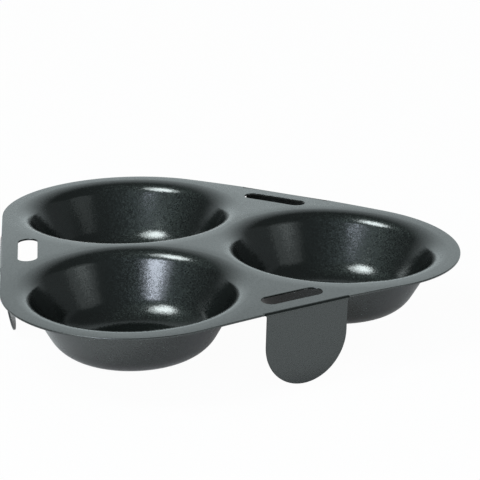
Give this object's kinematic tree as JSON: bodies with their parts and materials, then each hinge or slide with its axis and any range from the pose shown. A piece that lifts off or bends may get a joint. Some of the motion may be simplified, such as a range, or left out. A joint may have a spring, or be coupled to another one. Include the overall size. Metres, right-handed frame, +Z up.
{
  "type": "egg poaching tray",
  "caption": "Egg poaching tray that stands in a pan: round cups drawn into a crowned, rounded triangular sheet of dark coated steel, with slots and folded rounded legs.",
  "frame": {"origin": "middle of the plane that the leg tips stand on, under the deck's crown", "axes": "+Z up along the axis of threefold symmetry, +X towards a cup, +Y along the straight side between the other two cups"},
  "size_m": [0.17, 0.1809, 0.0318],
  "materials": {
    "coated_steel": "dark grey non-stick coating, satin, with fine metallic sparkle"
  },
  "bodies": {
    "root": {"deck": "coated_steel", "cup_right": "coated_steel", "cup_back_left": "coated_steel", "cup_front_left": "coated_steel", "leg_back": "coated_steel", "leg_left": "coated_steel", "leg_front": "coated_steel"}
  },
  "joints": []
}
